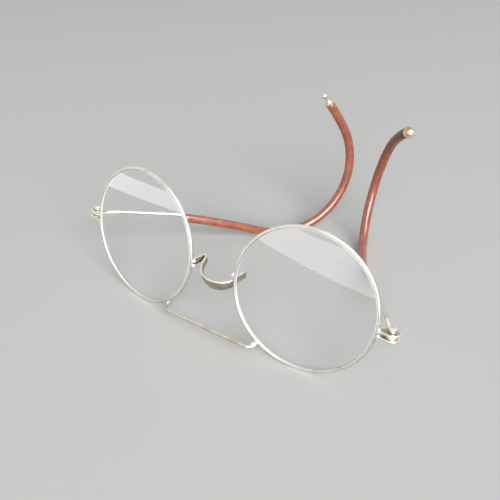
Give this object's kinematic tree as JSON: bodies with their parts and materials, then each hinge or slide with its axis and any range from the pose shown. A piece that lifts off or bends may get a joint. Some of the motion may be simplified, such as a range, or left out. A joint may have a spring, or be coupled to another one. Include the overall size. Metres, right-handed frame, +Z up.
{
  "type": "windsor eyeglasses",
  "caption": "Round wire-rimmed eyeglasses with clear lenses, a flat saddle bridge, a brow bar and folding cable temples in rust-coloured covers with ball tips.",
  "frame": {"origin": "under the middle of the glasses, on the table they lie on upside down", "axes": "+X to the right of the front seen from before it, +Y from the front back along the temples, +Z up, which is towards the lower edge of the lenses as worn"},
  "size_m": [0.1188, 0.0928, 0.0548],
  "materials": {
    "nickel": "polished nickel silver, worn to a soft sheen",
    "warm_nickel": "nickel silver with the yellow of the base metal showing through",
    "lens_glass": "clear polished glass",
    "cover": "glossy rust-red sheath"
  },
  "bodies": {
    "front": {"rim_left": "nickel", "rim_right": "nickel", "lens_left": "lens_glass", "lens_right": "lens_glass", "lug_upper_left": "warm_nickel", "lug_upper_right": "warm_nickel", "lug_lower_left": "warm_nickel", "lug_lower_right": "warm_nickel", "hinge_screw_left": "nickel", "hinge_screw_right": "nickel", "saddle_bridge": "warm_nickel", "brow_bar": "nickel"},
    "left_temple": {"temple_joint_left": "warm_nickel", "temple_wire_left": "nickel", "temple_cover_left": "cover", "tip_ferrule_left": "warm_nickel", "tip_ball_left": "nickel"},
    "right_temple": {"temple_joint_right": "warm_nickel", "temple_wire_right": "nickel", "temple_cover_right": "cover", "tip_ferrule_right": "warm_nickel", "tip_ball_right": "nickel"}
  },
  "joints": [
    {"name": "left_temple_hinge", "type": "hinge", "parent": "front", "child": "left_temple", "pos_m": [-0.05698, -0.03229, 0.02043], "axis": [0, -0.1668, -0.986], "range_deg": [-41.7, 51.3]},
    {"name": "right_temple_hinge", "type": "hinge", "parent": "front", "child": "right_temple", "pos_m": [0.05698, -0.03334, 0.01949], "axis": [0, 0.1668, 0.986], "range_deg": [-35.4, 44.6]}
  ]
}
